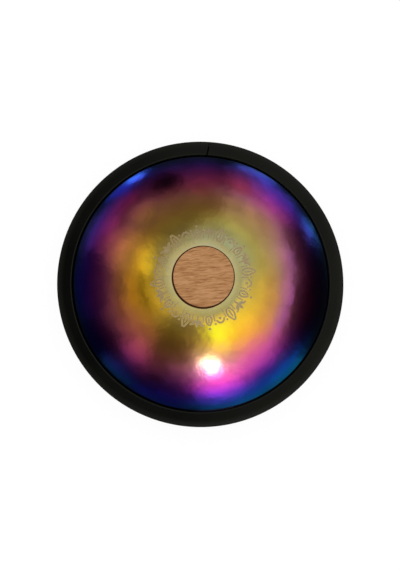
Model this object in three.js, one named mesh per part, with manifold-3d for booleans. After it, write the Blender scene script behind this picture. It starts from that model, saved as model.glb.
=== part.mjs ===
import * as THREE from "three";
import { mergeVertices } from "three/addons/utils/BufferGeometryUtils.js";
import Module from "manifold-3d";

// A steel tongue drum: two pressed steel domes, bonded flange to flange, with a black rubber
// channel round the joint. The upper dome is plain, with a round port at its top that a wooden
// cover closes. The tongues are cut in the lower dome.
// Millimetres, +Z up. The origin is the middle of the flat that the drum lies on.

const degrees = THREE.MathUtils.degToRad;
const wasm = await Module();
wasm.setup();

// Sheet steel, and the form of both domes
const SHEET = 1.8;
const DOME_RADIUS = 158;
const DOME_RISE = 68;
const BLEND_RADIUS = 70;
const BLEND_SLOPE = degrees(12);
const KNUCKLE_RADIUS = 6;
const FOOT_SLOPE = degrees(85);
const FOOT_WALL = 4;
const FOOT_FILLET = 1.5;
const FLANGE_WIDTH = 13;
const REST_FLAT_RADIUS = 36;

// Adhesive between the two flanges
const BOND_THICKNESS = 0.8;
const BOND_SET_BACK = 1;

// Port in the upper dome, its edge turned in as a neck
const PORT_RADIUS = 26;
const NECK_BEND = 4;
const NECK_PAST_SPIGOT = 2;

// Rubber channel round the flanges
const TRIM_WALL = 5.2;
const TRIM_LIP = 7.5;
const TRIM_CORNER = 8;
const TRIM_LIP_CORNER = 1.2;
const TRIM_CLEARANCE = 0.3;
const SEAM_GAP = 0.8;
const SEAM_ANGLE = degrees(86.5);

// Wooden cover: a disc on the flat round the port, and a spigot whose O-ring grips the neck
const COVER_OVERLAP = 6.5;
const COVER_THICKNESS = 3.4;
const DISC_BEVEL = 1.2;
const SPIGOT_BEVEL = 0.4;
const FLAT_PAST_COVER = 6.5;
const WASHER_THICKNESS = 0.6;
const WASHER_SET_BACK = 0.8;
const SPIGOT_CLEARANCE = 0.6;
const SPIGOT_LAND = 1.4;
const O_RING_CORD = 3;
const O_RING_CLEARANCE = 0.15;

// Tongues: the longest sounds the lowest note, and the others follow the steps of a scale
const LONGEST_TONGUE = 80;
const SCALE_STEPS = [0, 3, 5, 7, 10, 12, 15, 17, 19];
const STEPS_PER_OCTAVE = 12;
const TIP_TO_FOOT = 20;
const TIP_HALF_WIDTH = 23;
const ROOT_HALF_WIDTH = 14;
const SLOT_WIDTH = 1.6;
const RELIEF_RADIUS = 2;
const LOWEST_NOTE_ANGLE = degrees(-90);

// Faces sit this far apart where one piece lies on another
const SEAT_GAP = 0.05;

// Points of an outline nearer than this are one point
const POINT_GAP = 1e-3;

// How finely round shapes are divided
const AROUND = 60;
const CROWN_STEPS = 5;
const KNUCKLE_STEPS = 3;
const SMALL_STEPS = 2;
const CORNER_STEPS = 4;
const TIP_STEPS = 8;
const CORD_SIDES = 8;

// Sizes that follow from those above. The cover's heights are from the face of the upper flat.
const FLANGE_START = DOME_RADIUS + FOOT_FILLET * Math.sin(FOOT_SLOPE);
const FLANGE_RADIUS = FLANGE_START + FLANGE_WIDTH;
const FLANGE_DROP = DOME_RISE + FOOT_FILLET * (1 - Math.cos(FOOT_SLOPE));
const STACK_HALF = BOND_THICKNESS / 2 + SEAT_GAP + SHEET;
const FLAT_HEIGHT = STACK_HALF + FLANGE_DROP;
const TRIM_RADIUS = FLANGE_RADIUS + TRIM_CLEARANCE + TRIM_WALL;
const TRIM_HALF = STACK_HALF + TRIM_CLEARANCE + TRIM_LIP;
const TONGUE_TIP_RADIUS = DOME_RADIUS - TIP_TO_FOOT;
const COVER_RADIUS = PORT_RADIUS + NECK_BEND + COVER_OVERLAP;
const PORT_FLAT_RADIUS = COVER_RADIUS + FLAT_PAST_COVER;
const WASHER_TOP = SEAT_GAP + WASHER_THICKNESS;
const DISC_BASE = WASHER_TOP + SEAT_GAP;
const SPIGOT_RADIUS = PORT_RADIUS - SPIGOT_CLEARANCE;
const O_RING_RADIUS = PORT_RADIUS - O_RING_CLEARANCE - O_RING_CORD / 2;
const GROOVE_HALF = O_RING_CORD / 2 + O_RING_CLEARANCE;
const O_RING_DROP = NECK_BEND + GROOVE_HALF;
const SPIGOT_DEPTH = O_RING_DROP + GROOVE_HALF + SPIGOT_LAND;
const NECK_DEPTH = SPIGOT_DEPTH + NECK_PAST_SPIGOT;

// Points from angle `from` to angle `to` on a circle, both ends included.
function arc(centreR, centreZ, radius, from, to, steps) {
  return Array.from({ length: steps + 1 }, (_, i) => {
    const a = from + ((to - from) * i) / steps;
    return new THREE.Vector2(centreR + radius * Math.cos(a), centreZ + radius * Math.sin(a));
  });
}

// The arcs of a dome whose flat top is at height 0, each along the tangent of the last: a blend from
// the flat, a crown, a knuckle down to the upright wall at the foot, and a fillet out to the flange.
function domeArcs(flatRadius) {
  const up = Math.PI / 2;
  const normal = (slope) => new THREE.Vector2(Math.sin(slope), Math.cos(slope));
  const blend = new THREE.Vector2(flatRadius, -BLEND_RADIUS);
  const blendEnd = blend.clone().addScaledVector(normal(BLEND_SLOPE), BLEND_RADIUS);
  const foot = new THREE.Vector2(DOME_RADIUS, -DOME_RISE);
  const alongWall = new THREE.Vector2(-Math.cos(FOOT_SLOPE), Math.sin(FOOT_SLOPE));
  const knuckle = foot.clone().addScaledVector(alongWall, FOOT_WALL)
    .addScaledVector(normal(FOOT_SLOPE), -KNUCKLE_RADIUS);
  const span = blendEnd.clone().sub(knuckle);
  const crownRadius = (span.lengthSq() - KNUCKLE_RADIUS ** 2)
    / (2 * (span.dot(normal(BLEND_SLOPE)) - KNUCKLE_RADIUS));
  const crown = blendEnd.clone().addScaledVector(normal(BLEND_SLOPE), -crownRadius);
  const crownSlope = Math.atan2(knuckle.x - crown.x, knuckle.y - crown.y);
  const fillet = foot.clone().addScaledVector(normal(FOOT_SLOPE), FOOT_FILLET);
  return [
    { centre: blend, radius: BLEND_RADIUS, side: -1, from: up, to: up - BLEND_SLOPE, steps: SMALL_STEPS },
    { centre: crown, radius: crownRadius, side: -1, from: up - BLEND_SLOPE, to: up - crownSlope,
      steps: CROWN_STEPS },
    { centre: knuckle, radius: KNUCKLE_RADIUS, side: -1, from: up - crownSlope, to: up - FOOT_SLOPE,
      steps: KNUCKLE_STEPS },
    { centre: fillet, radius: FOOT_FILLET, side: 1, from: 3 * up - FOOT_SLOPE, to: 3 * up,
      steps: SMALL_STEPS },
  ];
}

// One skin of a dome, from its flat to its flange: depth 0 is the outer skin, SHEET the inner one.
function domeSkin(flatRadius, depth) {
  const points = domeArcs(flatRadius).flatMap(({ centre, radius, side, from, to, steps }) =>
    arc(centre.x, centre.y, radius + side * depth, from, to, steps));
  points.push(new THREE.Vector2(FLANGE_RADIUS, points.at(-1).y));
  return points.filter((p, i) => i === 0 || p.distanceTo(points[i - 1]) > POINT_GAP);
}

// A closed body turned about +Z from a closed outline in (radius, height).
function turned(outline) {
  const area = outline.reduce((sum, p, i) => {
    const q = outline[(i + 1) % outline.length];
    return sum + p.x * q.y - q.x * p.y;
  }, 0);
  const points = area > 0 ? [...outline] : [...outline].reverse();
  return new THREE.LatheGeometry([...points, points[0].clone()], AROUND).rotateX(Math.PI / 2);
}

// A three.js geometry as a solid that can be cut, and back.
function solid(geometry) {
  const bare = new THREE.BufferGeometry().setIndex(geometry.index);
  bare.setAttribute("position", geometry.getAttribute("position"));
  const merged = mergeVertices(bare, 1e-4);
  return new wasm.Manifold(new wasm.Mesh({
    numProp: 3,
    vertProperties: merged.attributes.position.array,
    triVerts: new Uint32Array(merged.index.array),
  }));
}

function geometryOf(body) {
  const mesh = body.getMesh();
  const geometry = new THREE.BufferGeometry().setIndex(new THREE.BufferAttribute(mesh.triVerts, 1));
  geometry.setAttribute("position", new THREE.BufferAttribute(mesh.vertProperties, 3));
  return geometry;
}

// The upper dome, about the middle of the bond. Its flat is pierced by the port and its neck.
function portShell() {
  const lift = new THREE.Vector2(0, FLAT_HEIGHT);
  const bend = (depth) => arc(PORT_RADIUS + NECK_BEND, -NECK_BEND, NECK_BEND - depth,
    Math.PI, Math.PI / 2, CORNER_STEPS);
  const outer = [new THREE.Vector2(PORT_RADIUS, -NECK_DEPTH), ...bend(0), ...domeSkin(PORT_FLAT_RADIUS, 0)];
  const inner = [new THREE.Vector2(PORT_RADIUS + SHEET, -NECK_DEPTH), ...bend(SHEET),
    ...domeSkin(PORT_FLAT_RADIUS, SHEET)];
  return turned([...outer, ...inner.reverse()].map((p) => p.clone().add(lift)));
}

// The slot round one tongue, seen from above, as a closed outline. The tongue points along +X from
// its root, widens to a half round tip, and a relief hole ends the slot on each side of the root.
function slotOutline(length) {
  const tip = TONGUE_TIP_RADIUS - TIP_HALF_WIDTH;
  const root = TONGUE_TIP_RADIUS - length;
  const lean = Math.atan2(TIP_HALF_WIDTH - ROOT_HALF_WIDTH, tip - root);
  const hole = new THREE.Vector2(root, ROOT_HALF_WIDTH + SLOT_WIDTH / 2);
  const half = Math.asin(SLOT_WIDTH / 2 / RELIEF_RADIUS);
  const shape = new THREE.Shape();
  shape.absarc(tip, 0, TIP_HALF_WIDTH + SLOT_WIDTH, Math.PI / 2 + lean, -Math.PI / 2 - lean, true);
  shape.absarc(hole.x, -hole.y, RELIEF_RADIUS, -lean - half, -lean + half, true);
  shape.absarc(tip, 0, TIP_HALF_WIDTH, -Math.PI / 2 - lean, Math.PI / 2 + lean, false);
  shape.absarc(hole.x, hole.y, RELIEF_RADIUS, lean - half, lean + half, true);
  return shape;
}

// Notes climb in turn on the left and the right of the lowest one.
function tongueAngle(index) {
  const side = index % 2 ? -1 : 1;
  const pitch = (2 * Math.PI) / SCALE_STEPS.length;
  return LOWEST_NOTE_ANGLE + side * Math.ceil(index / 2) * pitch;
}

// A reed's note rises as the square of its length falls.
function tongueLength(steps) {
  return LONGEST_TONGUE * 2 ** (-steps / STEPS_PER_OCTAVE / 2);
}

// The lower dome, about the middle of the bond, with a slot cut round each tongue.
function tongueShell() {
  const centre = (depth) => new THREE.Vector2(0, -depth);
  const outer = [centre(0), ...domeSkin(REST_FLAT_RADIUS, 0)];
  const inner = [centre(SHEET), ...domeSkin(REST_FLAT_RADIUS, SHEET)];
  const outline = [...outer, ...inner.reverse()].map((p) => new THREE.Vector2(p.x, -p.y - FLAT_HEIGHT));
  const shell = solid(turned(outline));
  return geometryOf(SCALE_STEPS.reduce((body, steps, index) => {
    const slot = new THREE.ExtrudeGeometry(slotOutline(tongueLength(steps)), {
      depth: FLAT_HEIGHT, curveSegments: TIP_STEPS, bevelEnabled: false,
    });
    slot.translate(0, 0, -FLAT_HEIGHT - SHEET).rotateZ(tongueAngle(index));
    return body.subtract(solid(slot));
  }, shell));
}

function flangeBond() {
  const half = BOND_THICKNESS / 2;
  const [near, far] = [FLANGE_START + BOND_SET_BACK, FLANGE_RADIUS - BOND_SET_BACK];
  return turned([[near, -half], [far, -half], [far, half], [near, half]].map((p) => new THREE.Vector2(...p)));
}

// The rubber channel. Its mouth faces the domes, its back is rounded, and its ends meet in a seam.
function edgeTrim() {
  const quarter = Math.PI / 2;
  const mouth = STACK_HALF + TRIM_CLEARANCE;
  const back = FLANGE_RADIUS + TRIM_CLEARANCE;
  const front = FLANGE_START + TRIM_CLEARANCE;
  const lip = front + TRIM_LIP_CORNER;
  const outerR = TRIM_RADIUS - TRIM_CORNER;
  const lipTop = TRIM_HALF - TRIM_LIP_CORNER;
  const outerTop = TRIM_HALF - TRIM_CORNER;
  const ring = solid(turned([
    new THREE.Vector2(front, mouth),
    ...arc(lip, lipTop, TRIM_LIP_CORNER, 2 * quarter, quarter, SMALL_STEPS),
    ...arc(outerR, outerTop, TRIM_CORNER, quarter, 0, CORNER_STEPS),
    ...arc(outerR, -outerTop, TRIM_CORNER, 0, -quarter, CORNER_STEPS),
    ...arc(lip, -lipTop, TRIM_LIP_CORNER, -quarter, -2 * quarter, SMALL_STEPS),
    new THREE.Vector2(front, -mouth),
    new THREE.Vector2(back, -mouth),
    new THREE.Vector2(back, mouth),
  ]));
  const seam = new THREE.BoxGeometry(TRIM_RADIUS, SEAM_GAP, 4 * TRIM_HALF)
    .translate(TRIM_RADIUS, 0, 0).rotateZ(SEAM_ANGLE);
  return geometryOf(ring.subtract(solid(seam)));
}

function coverDisc() {
  const [rim, top] = [COVER_RADIUS - DISC_BEVEL, DISC_BASE + COVER_THICKNESS];
  return turned([[0, DISC_BASE], [COVER_RADIUS, DISC_BASE], [COVER_RADIUS, top - DISC_BEVEL], [rim, top],
    [0, top]].map((p) => new THREE.Vector2(...p)));
}

function coverWasher() {
  const [near, far] = [PORT_RADIUS + NECK_BEND, COVER_RADIUS - WASHER_SET_BACK];
  return turned([[near, SEAT_GAP], [far, SEAT_GAP], [far, WASHER_TOP], [near, WASHER_TOP]]
    .map((p) => new THREE.Vector2(...p)));
}

function coverSpigot() {
  const floor = O_RING_RADIUS - GROOVE_HALF;
  return turned([[0, -SPIGOT_DEPTH], [SPIGOT_RADIUS - SPIGOT_BEVEL, -SPIGOT_DEPTH],
    [SPIGOT_RADIUS, SPIGOT_BEVEL - SPIGOT_DEPTH], [SPIGOT_RADIUS, -O_RING_DROP - GROOVE_HALF],
    [floor, -O_RING_DROP - GROOVE_HALF], [floor, -O_RING_DROP + GROOVE_HALF],
    [SPIGOT_RADIUS, -O_RING_DROP + GROOVE_HALF], [SPIGOT_RADIUS, WASHER_TOP], [0, WASHER_TOP]]
    .map((p) => new THREE.Vector2(...p)));
}

function coverORing() {
  return turned(arc(O_RING_RADIUS, -O_RING_DROP, O_RING_CORD / 2, 0, 2 * Math.PI, CORD_SIDES).slice(1));
}

const steel = () => new THREE.MeshStandardMaterial({ color: 0x8a5a78, roughness: 0.28, metalness: 1 });
const rubber = () => new THREE.MeshStandardMaterial({ color: 0x1a1a17, roughness: 0.65, metalness: 0 });
const adhesive = () => new THREE.MeshStandardMaterial({ color: 0x3a3a38, roughness: 0.8, metalness: 0 });
const beech = () => new THREE.MeshStandardMaterial({ color: 0xb07f53, roughness: 0.6, metalness: 0 });
const felt = () => new THREE.MeshStandardMaterial({ color: 0x2a1c12, roughness: 0.95, metalness: 0 });

function piece(name, geometry, material) {
  const mesh = new THREE.Mesh(geometry, material);
  mesh.name = name;
  return mesh;
}

const drum = new THREE.Group();
drum.add(
  piece("port_shell", portShell(), steel()),
  piece("tongue_shell", tongueShell(), steel()),
  piece("flange_bond", flangeBond(), adhesive()),
  piece("edge_trim", edgeTrim(), rubber()),
);

const cover = new THREE.Group();
cover.position.z = FLAT_HEIGHT;
cover.add(
  piece("cover_disc", coverDisc(), beech()),
  piece("cover_spigot", coverSpigot(), beech()),
  piece("cover_washer", coverWasher(), felt()),
  piece("cover_o_ring", coverORing(), rubber()),
);
drum.add(cover);

const part = new THREE.Group();
drum.position.z = FLAT_HEIGHT;
part.add(drum);

export default part;
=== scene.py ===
"""A steel tongue drum seen on its port side: heat-coloured dome, rubber edge channel, beech cover.

Shapes are worked out in millimetres about the axis of the drum, with heights from the floor, and
make_piece turns them to metres. Angles are in radians, and in degrees where a comment says so.
"""

import math

import bmesh
import bpy
import numpy as np
from mathutils import Matrix, Vector
from mathutils.geometry import delaunay_2d_cdt


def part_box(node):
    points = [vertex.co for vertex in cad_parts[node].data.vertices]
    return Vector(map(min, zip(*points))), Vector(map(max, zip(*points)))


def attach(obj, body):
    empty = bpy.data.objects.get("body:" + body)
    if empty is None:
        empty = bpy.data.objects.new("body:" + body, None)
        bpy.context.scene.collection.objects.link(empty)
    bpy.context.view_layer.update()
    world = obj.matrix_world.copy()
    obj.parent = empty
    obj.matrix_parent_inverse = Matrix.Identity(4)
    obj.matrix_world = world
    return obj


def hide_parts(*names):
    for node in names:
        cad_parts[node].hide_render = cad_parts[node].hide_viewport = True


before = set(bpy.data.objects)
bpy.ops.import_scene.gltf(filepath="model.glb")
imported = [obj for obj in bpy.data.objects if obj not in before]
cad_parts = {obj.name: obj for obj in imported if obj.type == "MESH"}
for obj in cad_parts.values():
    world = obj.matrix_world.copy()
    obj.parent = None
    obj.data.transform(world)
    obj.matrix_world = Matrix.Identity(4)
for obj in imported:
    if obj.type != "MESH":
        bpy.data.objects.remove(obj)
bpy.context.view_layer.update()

MM = 0.001


def node_box(name):
    """Lowest and highest corner of a CAD node in millimetres."""
    low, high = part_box(name)
    return np.array(low) / MM, np.array(high) / MM


# Heights and radii that the frame already holds
shell_high = node_box("port_shell")[1]
trim_low, trim_high = node_box("edge_trim")
bond_low, bond_high = node_box("flange_bond")
disc_low, disc_high = node_box("cover_disc")
washer_low, washer_high = node_box("cover_washer")
spigot_low, spigot_high = node_box("cover_spigot")
ring_low, ring_high = node_box("cover_o_ring")
MIDDLE = (bond_low[2] + bond_high[2]) / 2
PORT_FACE = shell_high[2]
FLANGE_RADIUS = shell_high[0]
TRIM_RADIUS = trim_high[0]
TRIM_HALF = (trim_high[2] - trim_low[2]) / 2
COVER_RADIUS = disc_high[0]

# Pressed domes, as in the frame
SHEET = 1.8
SEAT_GAP = 0.05
STACK_HALF = (bond_high[2] - bond_low[2]) / 2 + SEAT_GAP + SHEET
BLEND_RADIUS = 70
BLEND_SLOPE = math.radians(12)
KNUCKLE_RADIUS = 6
FOOT_SLOPE = math.radians(85)
FOOT_WALL = 4
FOOT_FILLET = 1.5
FLANGE_WIDTH = 13
DOME_RADIUS = FLANGE_RADIUS - FLANGE_WIDTH - FOOT_FILLET * math.sin(FOOT_SLOPE)
DOME_RISE = PORT_FACE - MIDDLE - STACK_HALF - FOOT_FILLET * (1 - math.cos(FOOT_SLOPE))
REST_FLAT_RADIUS = 36
PORT_FLAT_MARGIN = 6.5
PORT_FLAT_RADIUS = COVER_RADIUS + PORT_FLAT_MARGIN
PORT_RADIUS = 26
NECK_BEND = 4
NECK_PAST_SPIGOT = 2
NECK_DEPTH = PORT_FACE - spigot_low[2] + NECK_PAST_SPIGOT

# Tongues, as in the frame, with their notes in semitones above the lowest
LONGEST_TONGUE = 80
SCALE_STEPS = (0, 3, 5, 7, 10, 12, 15, 17, 19)
SEMITONES_TO_HALVE = 24
TIP_TO_FOOT = 20
TONGUE_TIP_RADIUS = DOME_RADIUS - TIP_TO_FOOT
TIP_HALF_WIDTH = 23
ROOT_HALF_WIDTH = 14
SLOT_WIDTH = 1.6
RELIEF_RADIUS = 2

# Rubber channel, as in the frame, but its seam is cut slanting
TRIM_CLEARANCE = 0.3
# How far the lips, squeezed by the clasp, bulge inwards past the flanges' bend
LIP_BULGE = 0.75
TRIM_FRONT = FLANGE_RADIUS - FLANGE_WIDTH + TRIM_CLEARANCE - LIP_BULGE
TRIM_CORNER = 8
TRIM_LIP_CORNER = 1.2
# The seam's gap where it gapes and where it is closed, its angle at the lips and its slant per millimetre
SEAM_GAP = 0.8
SEAM_FIT = 0.02
SEAM_AT_LIP = math.radians(87.5)
SEAM_SLANT = math.radians(-0.06)
# How far in from the channel's outer face the seam's gap starts to close, and where it is closed
SEAM_CLOSING = (8, 2)
# How far one end of the channel stands proud, and how far along it that takes to fade
SEAM_STEP = 0.35
SEAM_STEP_REACH = 9

# Cover: the bevel round its disc, the rounding of its wood's edges and the O-ring's room in its groove
DISC_BEVEL = 1.2
EASE = 0.4
O_RING_ROOM = 0.15

# Ornament etched round the cover, in equal sectors. The fine mesh for it begins at RING_INNER. A pair holds
# where a form starts and ends, as radii, or for a petal as distances from FAN_RADIUS.
SECTORS = 24
RING_INNER = 38.5
OUTLINE_WIDTH = 2.0
LEAF_FULLNESS = 0.75
LEAF_BLUNTNESS = 0.9
LEAF_STEPS = 200
LONG_LEAF = (45.2, 62)
LONG_LEAF_HALF_WIDTH = 4.0
SHORT_LEAF = (45.2, 57)
SHORT_LEAF_HALF_WIDTH = 3.4
STEM_WIDTH = 1.8
LONG_LEAF_STEM = (48, 57)
SHORT_LEAF_STEM = (48, 53.5)
FAN_STEM = (45.2, 51)
BUD_RADIUS = 60.2
BUD_WIDTH = 2.8
FAN_RADIUS = 48
PETAL = (2, 11)
PETAL_WIDTH = 3.6
PETAL_LEAN = 0.62
BOW_RADIUS = 52
BOW_REACH = 4.3
BERRY_RADIUS = 51
BERRY_WIDTH = 3.0
BAR = (44, 53)
LONG_BAR = (40, 53)
BAR_WIDTH = 1.3
SEED_RADIUS = 56
SEED_WIDTH = 2.4

# How finely the pieces are divided
SHELL_AROUND = 640
TONGUE_AROUND = 360
TRIM_AROUND = 480
COVER_AROUND = 192
ETCH_STEP = 0.45
# Steps in the crown's first share, as far as the ornament reaches, and that share
FINE_CROWN = (11, 0.043)
# The part of the lower dome that is triangulated from a plan, the spacing of its points, how far they keep
# from a slot, and their spacing along one
PLAN_RADIUS = TONGUE_TIP_RADIUS + 6
PLAN_STEP = 3.4
PLAN_CLEARANCE = PLAN_STEP * 0.45
SLOT_STEP = 3
TONGUE_SKIN_STEPS = (10, 80, 9, 3)
WELD_DISTANCE = 0.002


def linear(hex_colour):
    """An sRGB hex colour as linear red, green, blue and alpha."""
    value = np.array([int(hex_colour[i:i + 2], 16) / 255 for i in (1, 3, 5)])
    value = np.where(value <= 0.04045, value / 12.92, ((value + 0.055) / 1.055) ** 2.4)
    return (*value.tolist(), 1.0)


def set_sockets(tree, node, sockets):
    """Gives each named input of the node its value, or a link where the value is another node's socket."""
    for name, value in sockets.items():
        if isinstance(value, bpy.types.NodeSocket):
            tree.links.new(value, node.inputs[name])
        else:
            node.inputs[name].default_value = value


def add_node(tree, kind, sockets=None, **settings):
    """A shader node of that kind with its settings, and its sockets set or linked."""
    made = tree.nodes.new("ShaderNode" + kind)
    for name, value in settings.items():
        setattr(made, name, value)
    set_sockets(tree, made, sockets or {})
    return made


def per_metre(size):
    """How often a pattern of that size in millimetres repeats in a metre."""
    return 1 / (size * MM)


def axis_distance(tree, place, centre=(0, 0)):
    """How far a place is from the upright line through a centre, which is given in millimetres."""
    flat = add_node(tree, "Mapping", {
        "Vector": place, "Location": (-centre[0] * MM, -centre[1] * MM, 0), "Scale": (1, 1, 0)})
    return add_node(tree, "VectorMath", {0: flat.outputs[0]}, operation="LENGTH").outputs["Value"]


def set_stops(ramp, *stops):
    """Gives a colour ramp its stops, each one a position and an sRGB hex colour."""
    elements = ramp.color_ramp.elements
    while len(elements) < len(stops):
        elements.new(1)
    for element, (position, colour) in zip(elements, stops):
        element.position = position
        element.color = linear(colour)


def new_material(name):
    """An empty material with its Principled shader linked to the output, as (material, tree, shader)."""
    material = bpy.data.materials.new(name)
    material.use_nodes = True
    tree = material.node_tree
    tree.nodes.clear()
    shader = add_node(tree, "BsdfPrincipled")
    add_node(tree, "OutputMaterial", {"Surface": shader.outputs["BSDF"]})
    return material, tree, shader


def make_piece(name, points, faces, body, node, materials, face_material=None, etch=None, sharp=30):
    """A finished piece that stands for a CAD node: a mesh at the origin, smooth except past the sharp angle.
    Face_material numbers each face's material, and etch is how strongly each point is etched."""
    mesh = bpy.data.meshes.new(name)
    mesh.from_pydata((points * MM).tolist(), [], faces)
    for material in materials:
        mesh.materials.append(material)
    if face_material is not None:
        mesh.polygons.foreach_set("material_index", face_material.astype(np.int32))
    if etch is not None:
        mesh.attributes.new("etch", "FLOAT", "POINT").data.foreach_set("value", etch.astype(np.float32))
    mesh.validate()
    mesh.shade_smooth()
    mesh.set_sharp_from_angle(angle=math.radians(sharp))
    piece = bpy.data.objects.new(name, mesh)
    bpy.context.collection.objects.link(piece)
    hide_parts(node)
    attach(piece, body)
    return piece


def direction(azimuth, polar):
    """The unit vector at that azimuth from +X and that angle from straight up, both in radians."""
    return Vector((math.sin(polar) * math.cos(azimuth), math.sin(polar) * math.sin(azimuth), math.cos(polar)))


def arc(centre, radius, start, end, steps):
    """Points on a circle from one angle to another: centre plus radius times cosine and sine."""
    a = np.linspace(start, end, steps + 1)
    return np.array(centre) + radius * np.stack((np.cos(a), np.sin(a)), 1)


def joined(*stretches):
    """One line through several stretches of points, with the points that two stretches share kept once."""
    line = np.concatenate([np.atleast_2d(np.array(s, dtype=float)) for s in stretches])
    apart = np.hypot(*(line[1:] - line[:-1]).T) > 1e-6
    return line[np.concatenate(([True], apart))]


def dome_skin(flat_radius, depth, steps, fine=None):
    """One skin of a dome as (radius, height), height 0 at its flat: blend, crown, knuckle, upright wall,
    fillet and flange.

    Each arc starts where the last one ends, along the same tangent. The crown's radius follows from that:
    it touches the blend at its end and the knuckle's circle from inside. Depth is the distance in from the
    outer skin. Fine, as (steps, share), divides that first share of the crown more finely.
    """
    up = math.pi / 2
    blend = np.array((flat_radius, -BLEND_RADIUS))
    normal = np.array((math.sin(BLEND_SLOPE), math.cos(BLEND_SLOPE)))
    foot_normal = np.array((math.sin(FOOT_SLOPE), math.cos(FOOT_SLOPE)))
    blend_end = blend + BLEND_RADIUS * normal
    foot = np.array((DOME_RADIUS, -DOME_RISE))
    along_wall = np.array((-math.cos(FOOT_SLOPE), math.sin(FOOT_SLOPE)))
    knuckle = foot + FOOT_WALL * along_wall - KNUCKLE_RADIUS * foot_normal
    span = blend_end - knuckle
    crown_radius = (span @ span - KNUCKLE_RADIUS ** 2) / (2 * (span @ normal - KNUCKLE_RADIUS))
    crown = blend_end - crown_radius * normal
    crown_slope = math.atan2(*(knuckle - crown))
    fillet = foot + FOOT_FILLET * foot_normal
    fine_steps, fine_share = fine or (1, 0)
    fine_slope = BLEND_SLOPE + fine_share * (crown_slope - BLEND_SLOPE)
    blend_steps, crown_steps, knuckle_steps, fillet_steps = steps
    points = joined(
        arc(blend, BLEND_RADIUS - depth, up, up - BLEND_SLOPE, blend_steps),
        arc(crown, crown_radius - depth, up - BLEND_SLOPE, up - fine_slope, fine_steps),
        arc(crown, crown_radius - depth, up - fine_slope, up - crown_slope, crown_steps),
        arc(knuckle, KNUCKLE_RADIUS - depth, up - crown_slope, up - FOOT_SLOPE, knuckle_steps),
        arc(fillet, FOOT_FILLET + depth, 3 * up - FOOT_SLOPE, 3 * up, fillet_steps),
    )
    return joined(points, (FLANGE_RADIUS, points[-1, 1]))


def round_axis(r, z, angle):
    """Points at those radii, heights and angles round the axis, three arrays whose shapes fit together."""
    return np.stack(np.broadcast_arrays(r * np.cos(angle), r * np.sin(angle), z), -1).reshape(-1, 3)


def turned(outline, around):
    """A closed outline in (radius, height) carried round the axis, as points, faces that point outwards, and
    the outline in the order used. Row i and column j hold outline point i at angle j. Rows on the axis shrink
    to one vertex.
    """
    r, z = outline.T
    if np.sum(r * np.roll(z, -1) - np.roll(r, -1) * z) < 0:
        outline = outline[::-1]
        r, z = outline.T
    points = round_axis(r[:, None], z[:, None], np.arange(around) * 2 * math.pi / around)
    ids = np.arange(len(points)).reshape(len(r), around)
    on_axis = r < 1e-6
    ids[on_axis] = ids[on_axis][:, :1]
    ahead = np.roll(ids, -1, 0)
    faces = np.stack((ids, np.roll(ids, -1, 1), np.roll(ahead, -1, 1), ahead), -1)
    start, end = on_axis, np.roll(on_axis, -1)
    quads = faces[~start & ~end].reshape(-1, 4).tolist()
    fans = faces[start & ~end][..., [0, 2, 3]].reshape(-1, 3).tolist()
    fans += faces[~start & end][..., [0, 1, 2]].reshape(-1, 3).tolist()
    return points, quads + fans, outline


def stroke(distance, width):
    """How strongly a stroke of that width is etched, from 0 to 1, with soft edges one mesh step wide."""
    return np.clip((width / 2 - np.abs(distance)) / ETCH_STEP + 0.5, 0, 1)


def between(value, ends):
    """Where a value lies between two ends."""
    return (value > ends[0]) & (value < ends[1])


def leaf_outline(r, across, ends, half_width):
    """A leaf from its foot to its pointed tip. Its half width goes as the sine of a share of its length,
    and a share drawn towards the foot makes it fuller there. Where its edge slopes, the distance to it is
    measured square to the slope."""
    def width(share):
        return half_width * np.sin(math.pi * share ** LEAF_FULLNESS) ** LEAF_BLUNTNESS

    foot, tip = ends
    share = np.clip((r - foot) / (tip - foot), 0, 1)
    steps = np.linspace(0, 1, LEAF_STEPS)
    slope = np.interp(share, steps, np.gradient(width(steps), (tip - foot) * steps[1]))
    return stroke((np.abs(across) - width(share)) / np.hypot(1, slope), OUTLINE_WIDTH) * between(r, ends)


def petal_fan(r, across):
    """Three petals that lean apart. Each is a stroke whose width goes as the sine of its length's share."""
    fan = np.zeros_like(r)
    start, end = PETAL
    for lean in (-PETAL_LEAN, 0, PETAL_LEAN):
        along = (r - FAN_RADIUS) * math.cos(lean) + across * math.sin(lean)
        aside = across * math.cos(lean) - (r - FAN_RADIUS) * math.sin(lean)
        share = np.clip((along - start) / (end - start), 0, 1)
        petal = stroke(aside, PETAL_WIDTH * np.sin(math.pi * share))
        fan = np.maximum(fan, petal * between(along, PETAL))
    return fan


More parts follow.
